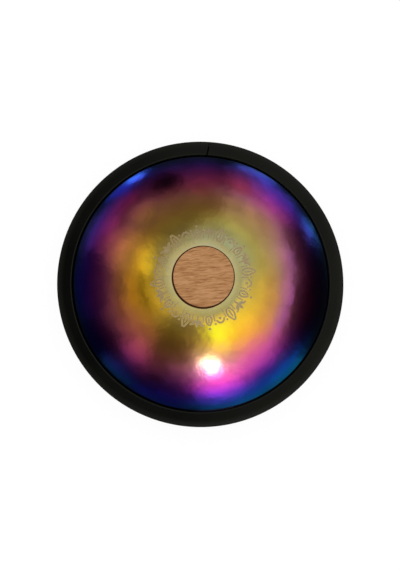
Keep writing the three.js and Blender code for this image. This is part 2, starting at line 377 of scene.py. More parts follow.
def etched_ring(x, y):
    """How strongly the ornament is etched at (x, y). Each sector holds one of four motifs in turn: a long
    leaf, a fan of three petals, a short leaf under a bud, and a bow over a berry. Bars and seeds stand
    between them."""
    r = np.hypot(x, y)
    turn = np.arctan2(y, x) / (2 * math.pi) * SECTORS
    sector = np.floor(turn)
    side = turn - sector - 0.5
    across = side * 2 * math.pi * r / SECTORS
    to_edge = (0.5 - np.abs(side)) * 2 * math.pi * r / SECTORS
    motif = (sector % 4).astype(int)
    stem = stroke(across, STEM_WIDTH)
    long_leaf = np.maximum(leaf_outline(r, across, LONG_LEAF, LONG_LEAF_HALF_WIDTH),
                           stem * between(r, LONG_LEAF_STEM))
    fan = np.maximum(petal_fan(r, across), stem * between(r, FAN_STEM))
    short_leaf = np.maximum.reduce([
        leaf_outline(r, across, SHORT_LEAF, SHORT_LEAF_HALF_WIDTH),
        stem * between(r, SHORT_LEAF_STEM),
        stroke(np.hypot(r - BUD_RADIUS, across), BUD_WIDTH)])
    bow = np.where(r > BOW_RADIUS, stroke(np.hypot(r - BOW_RADIUS, across) - BOW_REACH, OUTLINE_WIDTH), 0)
    bow = np.maximum(bow, stroke(np.hypot(r - BERRY_RADIUS, across), BERRY_WIDTH))
    motifs = np.choose(motif, (long_leaf, fan, short_leaf, bow))
    bar = stroke(to_edge, BAR_WIDTH) * np.where(motif == 3, between(r, LONG_BAR), between(r, BAR))
    seed = stroke(np.hypot(r - SEED_RADIUS, to_edge), SEED_WIDTH)
    return np.maximum.reduce([motifs, bar, seed])


# Pressed steel sheet under a heat-grown oxide film. The film thickens outwards from the port, and each
# thickness reflects another colour: straw at the port, then gold, copper, magenta, purple and blue. Each
# stop is a distance from the film's centre and a colour.
HEAT_COLOURS = (
    (36, "#ecd69a"), (40, "#e0cc88"), (46, "#ccb874"), (52, "#cab06a"), (60, "#d4b258"), (70, "#dcb04a"),
    (80, "#dca24e"), (90, "#dc965e"), (100, "#da8670"), (110, "#cc6c80"), (120, "#ac5080"), (130, "#7c357e"),
    (139, "#502a86"), (147, "#303190"), (154, "#1c3b84"), (160, "#143f70"),
)
HEAT_CENTRE = (-1.0, 1.5)
# Span within which the film's bands waver, and the size of its clouds
HEAT_WAVER = 9.0
CLOUD_SIZE = 38.5
# Height above the joint up to which the dome's foot is painted near black as the rubber lip's shade, and how
# that painted shade fades past it
SHADED_FOOT_TOP = STACK_HALF + FOOT_FILLET + FOOT_WALL
FOOT_SHADE_FADE = (1.0, 2.6)
# Sizes of the worn specks in the ornament, and of the sheet's swells and satin grain. The grain is about
# 0.4 mm on the real sheet and is drawn coarser, so that it shows.
WORN_SIZE = 2.5
SWELL_SIZE = 38.5
SATIN_SIZE = 1.316


def heat_film(tree, place):
    """The film's colour: it follows the distance from the film's centre, with a cloudy waver, and ends in
    painted shade at the foot, near black where the rubber's lip would shade it."""
    radius = axis_distance(tree, place, HEAT_CENTRE)
    cloud = add_node(tree, "TexNoise", {"Vector": place, "Scale": per_metre(CLOUD_SIZE), "Detail": 5})
    waver = add_node(tree, "Math", {
        0: cloud.outputs["Fac"], 1: HEAT_WAVER * MM, 2: -HEAT_WAVER / 2 * MM}, operation="MULTIPLY_ADD")
    bent = add_node(tree, "Math", {0: radius, 1: waver.outputs[0]}, operation="ADD")
    inner, outer = HEAT_COLOURS[0][0], HEAT_COLOURS[-1][0]
    share = add_node(tree, "MapRange", {
        "Value": bent.outputs[0], "From Min": inner * MM, "From Max": outer * MM})
    film = add_node(tree, "ValToRGB", {"Fac": share.outputs[0]})
    set_stops(film, *(((at - inner) / (outer - inner), colour) for at, colour in HEAT_COLOURS))

    # Painted shade of the rubber's lip: close to the joint the foot's colour fades to near black.
    height = add_node(tree, "SeparateXYZ", {0: place}).outputs["Z"]
    offset = add_node(tree, "Math", {0: height, 1: MIDDLE * MM}, operation="SUBTRACT")
    above = add_node(tree, "Math", {0: offset.outputs[0]}, operation="ABSOLUTE")
    foot = add_node(tree, "MapRange", {
        "Value": above.outputs[0], "From Min": (SHADED_FOOT_TOP + FOOT_SHADE_FADE[0]) * MM,
        "From Max": (SHADED_FOOT_TOP + FOOT_SHADE_FADE[1]) * MM, "To Min": 1, "To Max": 0})
    return add_node(tree, "Mix", {
        0: foot.outputs[0], 6: film.outputs["Color"], 7: linear("#020308")}, data_type="RGBA").outputs[2]


def heat_coloured_steel():
    """Sheet steel, satin polished, then heat coloured. The ornament is burnt off it to a matt grey."""
    material, tree, shader = new_material("heat_coloured_steel")
    place = add_node(tree, "TexCoord").outputs["Object"]
    etch = add_node(tree, "Attribute", attribute_name="etch").outputs["Fac"]
    worn = add_node(tree, "TexNoise", {"Vector": place, "Scale": per_metre(WORN_SIZE), "Detail": 2})
    strength = add_node(tree, "MapRange", {
        "Value": worn.outputs["Fac"], "From Min": 0.3, "From Max": 0.6, "To Min": 0.7, "To Max": 1.0})
    burnt = add_node(tree, "Math", {0: etch, 1: strength.outputs[0]}, operation="MULTIPLY")
    colour = add_node(tree, "Mix", {
        0: burnt.outputs[0], 6: heat_film(tree, place), 7: linear("#a89270")}, data_type="RGBA")
    metal = add_node(tree, "Math", {0: burnt.outputs[0], 1: -0.45, 2: 1.0}, operation="MULTIPLY_ADD")
    rough = add_node(tree, "MapRange", {"Value": burnt.outputs[0], "To Min": 0.14, "To Max": 0.65})

    swell = add_node(tree, "TexNoise", {
        "Vector": place, "Scale": per_metre(SWELL_SIZE), "Detail": 5, "Roughness": 0.45})
    waves = add_node(tree, "Bump", {"Strength": 1.0, "Distance": 0.9 * MM, "Height": swell.outputs["Fac"]})
    grain = add_node(tree, "TexNoise", {"Vector": place, "Scale": per_metre(SATIN_SIZE), "Detail": 3})
    satin = add_node(tree, "Bump", {
        "Strength": 0.35, "Distance": 0.04 * MM, "Height": grain.outputs["Fac"], "Normal": waves.outputs[0]})
    set_sockets(tree, shader, {
        "Base Color": colour.outputs[2], "Metallic": metal.outputs[0], "Roughness": rough.outputs[0],
        "Normal": satin.outputs[0]})
    return material


# Sizes of the bare sheet's drawing lines: long along X, narrow along Y
DRAWING_LINES = (33.3, 1.43, 33.3)


def bare_steel():
    """The inside of the domes: the mill's grey sheet, rolled, with faint drawing lines and a dull sheen."""
    material, tree, shader = new_material("bare_steel")
    place = add_node(tree, "TexCoord").outputs["Object"]
    rolled = add_node(tree, "Mapping", {
        "Vector": place, "Scale": [per_metre(size) for size in DRAWING_LINES]})
    lines = add_node(tree, "TexNoise", {"Vector": rolled.outputs[0], "Scale": 1, "Detail": 3})
    colour = add_node(tree, "ValToRGB", {"Fac": lines.outputs["Fac"]})
    set_stops(colour, (0, "#6f6d6a"), (1, "#a3a19c"))
    rough = add_node(tree, "MapRange", {"Value": lines.outputs["Fac"], "To Min": 0.3, "To Max": 0.5})
    set_sockets(tree, shader, {
        "Base Color": colour.outputs["Color"], "Roughness": rough.outputs[0], "Metallic": 1})
    return material


# Radii where the rubber is painted paler as highlights: a line along the top of its lips, and its outer
# corner
LIP_HIGHLIGHT = (159.3, 159.8, 160.4, 161.1)
CORNER_HIGHLIGHT = (169, 178)
# How fast painted light greys the rubber in a metre along +X and along +Y, and the size of its random
# blotches
PAINTED_LIGHT_GROWTH = (2.85, 1.04, 0)
BLOTCH_SIZE = 111
# Half the width of the dirt and painted shade along the seam, where it is full and where it ends
SEAM_DIRT_AND_SHADE = (0.4, 1.0)
# Width of the faint lines that the die leaves
DIE_LINE_SIZE = 1.111


def seam_angle(r):
    """The seam's angle at a radius: it falls off evenly from the lips outwards."""
    return SEAM_AT_LIP + SEAM_SLANT * (r - TRIM_FRONT)


def seam_dirt_and_shade(tree, place):
    """How much dirt and painted shade blacken the rubber: full beside the straight line through the seam's
    two ends, and nothing farther off or on the drum's -Y side."""
    lip_end, outer_end = (direction(seam_angle(r), math.pi / 2) * r for r in (TRIM_FRONT, TRIM_RADIUS))
    along = (outer_end - lip_end).normalized()
    beside = add_node(tree, "VectorMath", {0: place, 1: (along.y, -along.x, 0)}, operation="DOT_PRODUCT")
    lip_beside = (lip_end.x * along.y - lip_end.y * along.x) * MM
    offset = add_node(tree, "Math", {0: beside.outputs["Value"], 1: lip_beside}, operation="SUBTRACT")
    distance = add_node(tree, "Math", {0: offset.outputs[0]}, operation="ABSOLUTE")
    dirt_and_shade = add_node(tree, "MapRange", {
        "Value": distance.outputs[0], "From Min": SEAM_DIRT_AND_SHADE[0] * MM, "From Max": SEAM_DIRT_AND_SHADE[1] * MM,
        "To Min": 1, "To Max": 0})
    this_side = add_node(tree, "VectorMath", {0: place, 1: (0, per_metre(1), 0)}, operation="DOT_PRODUCT")
    return add_node(tree, "Math", {
        0: dirt_and_shade.outputs[0], 1: this_side.outputs["Value"]}, operation="MULTIPLY", use_clamp=True).outputs[0]


def extruded_rubber():
    """Black EPDM rubber, extruded: nearly no sheen, faint lines along its length, painted light that greys it
    towards one side with random blotches, painted highlights along its lips and its outer corner, and
    dirt and painted shade along its seam."""
    material, tree, shader = new_material("extruded_rubber")
    place = add_node(tree, "TexCoord").outputs["Object"]
    radius = axis_distance(tree, place)
    height = add_node(tree, "SeparateXYZ", {0: place}).outputs["Z"]

    # Painted light: the rubber turns greyer towards +X and +Y, with random blotches on top.
    side = add_node(tree, "VectorMath", {0: place, 1: PAINTED_LIGHT_GROWTH}, operation="DOT_PRODUCT")
    blotch = add_node(tree, "TexNoise", {"Vector": place, "Scale": per_metre(BLOTCH_SIZE), "Detail": 3})
    painted_light_and_blotches = add_node(tree, "Math", {0: side.outputs["Value"], 1: blotch.outputs["Fac"]}, operation="ADD")
    black = add_node(tree, "Mix", {
        0: painted_light_and_blotches.outputs[0], 6: linear("#030302"), 7: linear("#171713")}, data_type="RGBA")
    # Painted highlight: a paler line along the top of the lips.
    near, start, stop, far = LIP_HIGHLIGHT
    rising = add_node(tree, "MapRange", {"Value": radius, "From Min": near * MM, "From Max": start * MM})
    falling = add_node(tree, "MapRange", {
        "Value": radius, "From Min": stop * MM, "From Max": far * MM, "To Min": 1, "To Max": 0})
    lip = add_node(tree, "Math", {0: rising.outputs[0], 1: falling.outputs[0]}, operation="MULTIPLY")
    lip_highlighted = add_node(tree, "Mix", {
        0: lip.outputs[0], 6: black.outputs[2], 7: linear("#1d1e1a")}, data_type="RGBA")
    # Painted sheen: the rubber grows paler towards its rounded outer corner.
    corner = add_node(tree, "MapRange", {
        "Value": radius, "From Min": CORNER_HIGHLIGHT[0] * MM, "From Max": CORNER_HIGHLIGHT[1] * MM, "To Max": 0.65})
    rubber = add_node(tree, "Mix", {
        0: corner.outputs[0], 6: lip_highlighted.outputs[2], 7: linear("#21211c")}, data_type="RGBA")
    # Black along the seam: dirt and painted shade in its gap.
    colour = add_node(tree, "Mix", {
        0: seam_dirt_and_shade(tree, place), 6: rubber.outputs[2], 7: linear("#000000")}, data_type="RGBA")

    section = add_node(tree, "CombineXYZ", {0: radius, 1: height})
    lines = add_node(tree, "TexNoise", {
        "Vector": section.outputs[0], "Scale": per_metre(DIE_LINE_SIZE), "Detail": 1})
    skin = add_node(tree, "Bump", {"Strength": 0.4, "Distance": 0.05 * MM, "Height": lines.outputs["Fac"]})
    set_sockets(tree, shader, {
        "Base Color": colour.outputs[2], "Normal": skin.outputs[0], "Roughness": 0.6,
        "Specular IOR Level": 0.06})
    return material


# The grain: its turn from +X, and the length, width and depth of its fibres and of its wider bands
GRAIN_TURN = math.radians(5.5)
FIBRE = (7 * MM, 0.77 * MM, 3.3 * MM)
BAND = (18 * MM, 1.6 * MM, 11 * MM)
# Span of the grain's sideways sway, and the size of its bends
SWAY_REACH = 3.6
SWAY_SIZE = 10.53
# Centre of the scorching round the disc, set off so that the band is wider on the -X, -Y side as painted
# shade, and the radii where it starts and is full
CHAR_AND_SHADE_CENTRE = (0.35, 0.3)
CHAR = (COVER_RADIUS - DISC_BEVEL - 0.6, COVER_RADIUS - DISC_BEVEL - 0.1)


def oiled_beech():
    """Beech, cut along the grain by laser and oiled: long, slightly wavy fibres across, pale and brown by
    turns, and a scorched brown edge, made wider on one side by painted shade."""
    material, tree, shader = new_material("oiled_beech")
    place = add_node(tree, "TexCoord").outputs["Object"]
    sway = add_node(tree, "TexNoise", {"Vector": place, "Scale": per_metre(SWAY_SIZE), "Detail": 2})
    swayed = add_node(tree, "VectorMath", {
        0: sway.outputs["Color"], 1: (0, SWAY_REACH * MM, 0), 2: place}, operation="MULTIPLY_ADD")
    lengthwise = add_node(tree, "Mapping", {
        "Vector": swayed.outputs[0], "Rotation": (0, 0, GRAIN_TURN), "Scale": FIBRE}, vector_type="TEXTURE")
    fibres = add_node(tree, "TexNoise", {"Vector": lengthwise.outputs[0], "Scale": 1, "Detail": 4})
    wide = add_node(tree, "Mapping", {
        "Vector": swayed.outputs[0], "Rotation": (0, 0, GRAIN_TURN), "Scale": BAND}, vector_type="TEXTURE")
    bands = add_node(tree, "TexNoise", {"Vector": wide.outputs[0], "Scale": 1, "Detail": 2})
    mixed = add_node(tree, "Mix", {
        0: 0.5, 2: fibres.outputs["Fac"], 3: bands.outputs["Fac"]}, data_type="FLOAT")
    wood = add_node(tree, "ValToRGB", {"Fac": mixed.outputs[0]})
    set_stops(wood, (0.375, "#8c5f3a"), (0.47, "#a6764b"), (0.605, "#ba8a60"))

    # Scorched edge, partly painted shade: the dark band is wider on the -X, -Y side.
    radius = axis_distance(tree, place, CHAR_AND_SHADE_CENTRE)
    char_and_shade = add_node(tree, "MapRange", {"Value": radius, "From Min": CHAR[0] * MM, "From Max": CHAR[1] * MM})
    colour = add_node(tree, "Mix", {
        0: char_and_shade.outputs[0], 6: wood.outputs["Color"], 7: linear("#361803")}, data_type="RGBA")
    relief = add_node(tree, "Bump", {
        "Strength": 0.4, "Distance": 0.04 * MM, "Height": fibres.outputs["Fac"]})
    set_sockets(tree, shader, {
        "Base Color": colour.outputs[2], "Normal": relief.outputs[0], "Roughness": 0.7,
        "Specular IOR Level": 0.08})
    return material


# Size of the felt's tufts. Its single hairs are 0.02 mm thick, too fine to show.
TUFT_SIZE = 0.667


def needled_felt():
    """Dark brown wool felt: a soft, hairy face with no gloss."""
    material, tree, shader = new_material("needled_felt")
    place = add_node(tree, "TexCoord").outputs["Object"]
    tufts = add_node(tree, "TexNoise", {
        "Vector": place, "Scale": per_metre(TUFT_SIZE), "Detail": 4, "Distortion": 1.5})
    colour = add_node(tree, "ValToRGB", {"Fac": tufts.outputs["Fac"]})
    set_stops(colour, (0, "#1d130b"), (1, "#4a3524"))
    pile = add_node(tree, "Bump", {"Strength": 0.8, "Distance": 0.15 * MM, "Height": tufts.outputs["Fac"]})
    set_sockets(tree, shader, {
        "Base Color": colour.outputs["Color"], "Normal": pile.outputs[0], "Roughness": 1,
        "Sheen Weight": 0.4})
    return material


# Size of the epoxy's mottling
MOTTLE_SIZE = 4


def cured_epoxy():
    """Grey two-part epoxy between the flanges, squeezed out flat: slightly mottled and half matt."""
    material, tree, shader = new_material("cured_epoxy")
    place = add_node(tree, "TexCoord").outputs["Object"]
    mottle = add_node(tree, "TexNoise", {"Vector": place, "Scale": per_metre(MOTTLE_SIZE), "Detail": 3})
    colour = add_node(tree, "ValToRGB", {"Fac": mottle.outputs["Fac"]})
    set_stops(colour, (0, "#2f2f2d"), (1, "#4a4a46"))
    set_sockets(tree, shader, {"Base Color": colour.outputs["Color"], "Roughness": 0.55})
    return material


STEEL = heat_coloured_steel()
INSIDE = bare_steel()
RUBBER = extruded_rubber()
BEECH = oiled_beech()
FELT = needled_felt()
EPOXY = cured_epoxy()


def port_shell():
    """The upper dome with its port. The outline runs down the neck, round its bend, over the dome to the
    flange, and back along the inner skin. Rings lie ETCH_STEP apart where the ornament is etched."""
    up = math.pi / 2
    bend_centre = (PORT_RADIUS + NECK_BEND, -NECK_BEND)
    flat_steps = round((PORT_FLAT_RADIUS - RING_INNER) / ETCH_STEP)
    blend_steps = round(BLEND_RADIUS * BLEND_SLOPE / ETCH_STEP)
    outer = joined(
        (PORT_RADIUS, -NECK_DEPTH),
        arc(bend_centre, NECK_BEND, math.pi, up, 6),
        (RING_INNER - ETCH_STEP, 0),
        np.linspace((RING_INNER, 0), (PORT_FLAT_RADIUS, 0), flat_steps + 1),
        dome_skin(PORT_FLAT_RADIUS, 0, (blend_steps, 30, 9, 3), FINE_CROWN),
    )
    inner = joined(
        (PORT_RADIUS + SHEET, -NECK_DEPTH),
        arc(bend_centre, NECK_BEND - SHEET, math.pi, up, 4),
        dome_skin(PORT_FLAT_RADIUS, SHEET, (3, 10, 5, 2)),
    )
    to_place = (0, PORT_FACE)
    points, faces, outline = turned(joined(outer, inner[::-1]) + to_place, SHELL_AROUND)
    on_outer = np.any(np.all(np.isclose(outline[:, None], (outer + to_place)[None], atol=1e-6), 2), 1)
    inside = ~(on_outer & np.roll(on_outer, -1))
    make_piece("port_dome", points, faces, "drum", "port_shell", [STEEL, INSIDE],
               face_material=np.repeat(inside, SHELL_AROUND), etch=etched_ring(points[:, 0], points[:, 1]))


def slot_outline(length, angle):
    """The slot round one tongue, seen from above: round the outside of the tip, round a relief hole at the
    root, back along the tongue's own edge and round the other relief hole."""
    up = math.pi / 2
    tip = TONGUE_TIP_RADIUS - TIP_HALF_WIDTH
    root = TONGUE_TIP_RADIUS - length
    lean = math.atan2(TIP_HALF_WIDTH - ROOT_HALF_WIDTH, tip - root)
    hole = ROOT_HALF_WIDTH + SLOT_WIDTH / 2
    half = math.asin(SLOT_WIDTH / 2 / RELIEF_RADIUS)
    line = joined(
        arc((tip, 0), TIP_HALF_WIDTH + SLOT_WIDTH, up + lean, -up - lean, 36),
        arc((root, -hole), RELIEF_RADIUS, -lean - half, -lean + half - 2 * math.pi, 14),
        arc((tip, 0), TIP_HALF_WIDTH, -up - lean, up + lean, 34),
        arc((root, hole), RELIEF_RADIUS, lean - half, lean + half - 2 * math.pi, 14),
    )
    turn = np.array(((math.cos(angle), math.sin(angle)), (-math.sin(angle), math.cos(angle))))
    return line @ turn


def shared_out(counts):
    """For stretches cut into that many steps each: the stretch of every step, and its share of the way."""
    which = np.repeat(np.arange(len(counts)), counts)
    first = np.cumsum(counts) - counts
    return which, (np.arange(len(which)) - first[which]) / counts[which]


def divided(line, step):
    """A closed line with its long sides cut into equal stretches no longer than the step."""
    ahead = np.roll(line, -1, 0)
    cuts = np.maximum(1, np.ceil(np.hypot(*(ahead - line).T) / step)).astype(int)
    which, share = shared_out(cuts)
    return line[which] + (ahead - line)[which] * share[:, None]


def within(points, line):
    """Which points lie inside a closed line: a ray along +X crosses it an odd number of times."""
    a, b = line, np.roll(line, -1, 0)
    x, y = points[:, :1], points[:, 1:]
    spans = (a[:, 1] > y) != (b[:, 1] > y)
    rise = np.where(b[:, 1] == a[:, 1], 1, b[:, 1] - a[:, 1])
    cross = a[:, 0] + (y - a[:, 1]) / rise * (b[:, 0] - a[:, 0])
    return np.sum(spans & (x < cross), 1) % 2 == 1


def tongue_angle(index):
    """The lowest note faces -Y, and the others climb in turn on its two sides."""
    side = -1 if index % 2 else 1
    return math.radians(-90) + side * math.ceil(index / 2) * 2 * math.pi / len(SCALE_STEPS)


def slotted_plan(rim_angle):
    """The lower dome's middle seen from above, as points and triangles: the slots' outlines, a round rim and
    a field of points on rings, all triangulated together and left out inside the slots."""
    lengths = [LONGEST_TONGUE * 2 ** (-note / SEMITONES_TO_HALVE) for note in SCALE_STEPS]
    slots = [divided(slot_outline(length, tongue_angle(i)), SLOT_STEP) for i, length in enumerate(lengths)]
    rim = PLAN_RADIUS * np.stack((np.cos(rim_angle), np.sin(rim_angle)), 1)
    rings = np.arange(PLAN_STEP, PLAN_RADIUS - PLAN_STEP / 2, PLAN_STEP)
    which, turn = shared_out(np.round(2 * math.pi * rings / PLAN_STEP).astype(int))
    field = rings[which, None] * np.stack((np.cos(2 * math.pi * turn), np.sin(2 * math.pi * turn)), 1)
    nearest = np.full(len(field), np.inf)
    for slot in slots:
        nearest = np.minimum(nearest, np.hypot(*(field[:, None] - slot[None]).transpose(2, 0, 1)).min(1))
    field = field[nearest > PLAN_CLEARANCE]

    edges = []
    start = 0
    for line in (*slots, rim):
        ids = start + np.arange(len(line))
        edges += np.stack((ids, np.roll(ids, -1)), 1).tolist()
        start += len(line)
    corners = np.concatenate((*slots, rim, field))
    found = delaunay_2d_cdt([Vector(p) for p in corners.tolist()], edges, [], 0, 1e-5)
    plan = np.array([tuple(p) for p in found[0]])
    faces = np.array(found[2])
    middles = plan[faces].mean(1)
    cut = np.any([within(middles, slot) for slot in slots], 0)
    return plan, faces[~cut]


def tongue_shell():
    """The lower dome. Its middle is the slotted plan, lifted to both skins and joined by walls at every slot.
    Outside that, a turned strip goes on round the knuckle and the flange."""
    outer = joined((0, 0), dome_skin(REST_FLAT_RADIUS, 0, TONGUE_SKIN_STEPS))
    inner = joined((0, -SHEET), dome_skin(REST_FLAT_RADIUS, SHEET, TONGUE_SKIN_STEPS))
    rim_angle = np.arange(TONGUE_AROUND) * 2 * math.pi / TONGUE_AROUND
    plan, faces = slotted_plan(rim_angle)

    # Seen from above the plan runs anticlockwise, so the inner skin keeps it and the outer skin turns it over
    r = np.hypot(*plan.T)
    low = np.interp(r, outer[:, 0], -outer[:, 1])
    high = np.interp(r, inner[:, 0], -inner[:, 1])
    skins = np.concatenate((np.c_[plan, low], np.c_[plan, high]))
    count = len(plan)
    sides = np.concatenate((faces[:, [0, 1]], faces[:, [1, 2]], faces[:, [2, 0]]))
    key = np.sort(sides, 1) @ np.array((count, 1))
    _, first, times = np.unique(key, return_index=True, return_counts=True)
    # A side of one triangle only lies on a slot, which gets a wall, or on the rim, which gets none
    lone = sides[first[times == 1]]
    lone = lone[r[lone].min(1) < PLAN_RADIUS - WELD_DISTANCE]
    walls = np.c_[lone[:, 0] + count, lone[:, 0], lone[:, 1], lone[:, 1] + count]

    outer_strip = outer[outer[:, 0] > PLAN_RADIUS]
    strip = joined(
        (PLAN_RADIUS, np.interp(PLAN_RADIUS, *outer.T)), outer_strip,
        inner[inner[:, 0] > PLAN_RADIUS][::-1], (PLAN_RADIUS, np.interp(PLAN_RADIUS, *inner.T))) * (1, -1)
    grid = round_axis(strip[:, :1], strip[:, 1:], rim_angle)
    ids = 2 * count + np.arange(len(grid)).reshape(len(strip), TONGUE_AROUND)
    here, ahead = ids[:-1], ids[1:]
    quads = np.stack((here, np.roll(here, -1, 1), np.roll(ahead, -1, 1), ahead), -1)
    points = np.concatenate((skins, grid))
    all_faces = [*faces[:, ::-1].tolist(), *(faces + count).tolist(), *walls.tolist(),
                 *quads.reshape(-1, 4).tolist()]
    past_edge = np.arange(len(strip) - 1) > len(outer_strip)
    inside = np.concatenate((np.zeros(len(faces)), np.ones(len(faces) + len(walls)),
                             np.repeat(past_edge, TONGUE_AROUND)))
    piece = make_piece("tongue_dome", points, all_faces, "drum", "tongue_shell",
                       [STEEL, INSIDE], face_material=inside, sharp=35)
    weld(piece, WELD_DISTANCE)


def weld(piece, distance):
    """Merges the piece's vertices that lie within that many millimetres of each other."""
    work = bmesh.new()
    work.from_mesh(piece.data)
    bmesh.ops.remove_doubles(work, verts=work.verts, dist=distance * MM)
    work.to_mesh(piece.data)
    work.free()


def edge_trim():
    """The rubber channel: its section carried once round the drum, from one side of the slanting seam to the
    other. The seam's angle falls off evenly with the radius, it gapes along the top but not at the outer
    corner, and one end stands slightly proud."""
    up = math.pi / 2
    mouth = STACK_HALF + TRIM_CLEARANCE
    back = FLANGE_RADIUS + TRIM_CLEARANCE
    lip = TRIM_FRONT + TRIM_LIP_CORNER
    outer = TRIM_RADIUS - TRIM_CORNER
    lip_top = TRIM_HALF - TRIM_LIP_CORNER
    outer_top = TRIM_HALF - TRIM_CORNER
    section = joined(
        (TRIM_FRONT, mouth),
        arc((lip, lip_top), TRIM_LIP_CORNER, math.pi, up, 5),
        np.linspace((lip, TRIM_HALF), (outer, TRIM_HALF), 4),
        arc((outer, outer_top), TRIM_CORNER, up, 0, 12),
        arc((outer, -outer_top), TRIM_CORNER, 0, -up, 12),
        np.linspace((outer, -TRIM_HALF), (lip, -TRIM_HALF), 4),
        arc((lip, -lip_top), TRIM_LIP_CORNER, -up, -math.pi, 5),
        (TRIM_FRONT, -mouth),
        (back, -mouth),
        (back, mouth),
    )[::-1]
    r, z = section.T
    way = np.linspace(0, 1, TRIM_AROUND + 1)
    upper = np.clip((z - mouth) / (TRIM_HALF - mouth), 0, 1)
    open_to, closed_from = SEAM_CLOSING
    gape = upper * np.clip((TRIM_RADIUS - closed_from - r) / (open_to - closed_from), 0, 1)
    gap = SEAM_FIT + (SEAM_GAP - SEAM_FIT) * gape
    begin = seam_angle(r) + gap / 2 / r
    length = 2 * math.pi - gap / r
    angle = begin[:, None] + length[:, None] * way[None]
    proud = SEAM_STEP * np.exp(-way * 2 * math.pi * TRIM_RADIUS / SEAM_STEP_REACH)
    points = round_axis(r[:, None], MIDDLE + z[:, None] - np.outer(upper, proud), angle)
    ids = np.arange(len(points)).reshape(len(r), TRIM_AROUND + 1)
    ahead = np.roll(ids, -1, 0)
    quads = np.stack((ids[:, :-1], ids[:, 1:], ahead[:, 1:], ahead[:, :-1]), -1).reshape(-1, 4).tolist()
    caps = [ids[:, 0].tolist(), ids[::-1, -1].tolist()]
    channel = make_piece("edge_channel", points, quads + caps, "drum", "edge_trim", [RUBBER])
    channel.visible_glossy = False


def turned_cover(name, outline, node, material):
    """One piece of the cover: its outline turned about the axis."""
    points, faces, _ = turned(outline, COVER_AROUND)
    make_piece(name, points, faces, "port_cover", node, [material])


def cover_disc():
    """The wooden disc, with a bevel round its top and its edges eased. A ring of points near the bevel and
    one half-way keep its top's faces short."""
    up = math.pi / 2
    top, base, rim = disc_high[2], disc_low[2], COVER_RADIUS
    turn_in = EASE * math.tan(up / 4)
    near_bevel = rim - 2.5
    outline = joined(
        (0, base), (rim - EASE / 2, base), (rim, base + EASE / 2),
        arc((rim - EASE, top - DISC_BEVEL - turn_in), EASE, 0, up / 2, 3),
        arc((rim - DISC_BEVEL - turn_in, top - EASE), EASE, up / 2, up, 3),
        (near_bevel, top), (rim / 2, top), (0, top))
    turned_cover("cover_wood", outline, "cover_disc", BEECH)


def cover_spigot(cord, ring_height, ring_radius):
    """The wooden plug under the disc, with a groove that holds the O-ring with a little room."""
    groove = cord + O_RING_ROOM
    floor = ring_radius - groove
    edge = spigot_high[0]
    outline = joined(
        (0, spigot_low[2]), arc((edge - EASE, spigot_low[2] + EASE), EASE, -math.pi / 2, 0, 4),
        (edge, ring_height - groove), (floor, ring_height - groove), (floor, ring_height + groove),
        (edge, ring_height + groove), (edge, spigot_high[2]), (0, spigot_high[2]))
    turned_cover("cover_plug", outline, "cover_spigot", BEECH)


def cover_washer():
    """The felt between the disc and the dome: a flat ring with round corners."""
    up = math.pi / 2
    corner = 0.2
    left, right = PORT_RADIUS + NECK_BEND + corner, washer_high[0] - corner
    low, high = washer_low[2] + corner, washer_high[2] - corner
    outline = joined(
        arc((right, low), corner, -up, 0, 3),
        arc((right, high), corner, 0, up, 3),
        arc((left, high), corner, up, 2 * up, 3),
        arc((left, low), corner, 2 * up, 3 * up, 3))
    turned_cover("cover_felt", outline, "cover_washer", FELT)


def cover_o_ring(cord, ring_height, ring_radius):
    """The rubber ring round the plug: a circle turned about the axis."""
    outline = arc((ring_radius, ring_height), cord, 0, 2 * math.pi, 20)[:-1]
    turned_cover("cover_ring", outline, "cover_o_ring", RUBBER)


def port_cover():
    """The cover that pulls out of the port. The O-ring's thickness and place also shape the plug's groove."""
    cord = (ring_high[2] - ring_low[2]) / 2
    ring = cord, (ring_high[2] + ring_low[2]) / 2, ring_high[0] - cord
    cover_disc()
    cover_spigot(*ring)
    cover_washer()
    cover_o_ring(*ring)


port_shell()
tongue_shell()
edge_trim()
port_cover()
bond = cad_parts["flange_bond"]
bond.data.materials.clear()
bond.data.materials.append(EPOXY)

# Camera of the photograph: nearly straight down, a little from below the picture and from its left
IMAGE_WIDTH_PX = 400
FOCAL_LENGTH_PX = 803
CAMERA_DISTANCE = 1000
CAMERA_TILT = math.radians(5.14)
CAMERA_AZIMUTH = math.radians(-112.4)
AIM = (-1.29, -3.06, MIDDLE)


def add_camera():
    """A camera that looks at AIM from CAMERA_DISTANCE away, with +Y upwards in the picture."""
    data = bpy.data.cameras.new("camera")
    data.sensor_fit = "HORIZONTAL"
    data.sensor_width = 36
    data.lens = data.sensor_width * FOCAL_LENGTH_PX / IMAGE_WIDTH_PX
    camera = bpy.data.objects.new("camera", data)
    bpy.context.collection.objects.link(camera)
    back = direction(CAMERA_AZIMUTH, CAMERA_TILT)
    right = Vector((0, 1, 0)).cross(back).normalized()
    place = (Vector(AIM) + CAMERA_DISTANCE * back) * MM
    turn = Matrix((right, back.cross(right), back)).transposed().to_4x4()
    camera.matrix_world = Matrix.Translation(place) @ turn
    bpy.context.scene.camera = camera


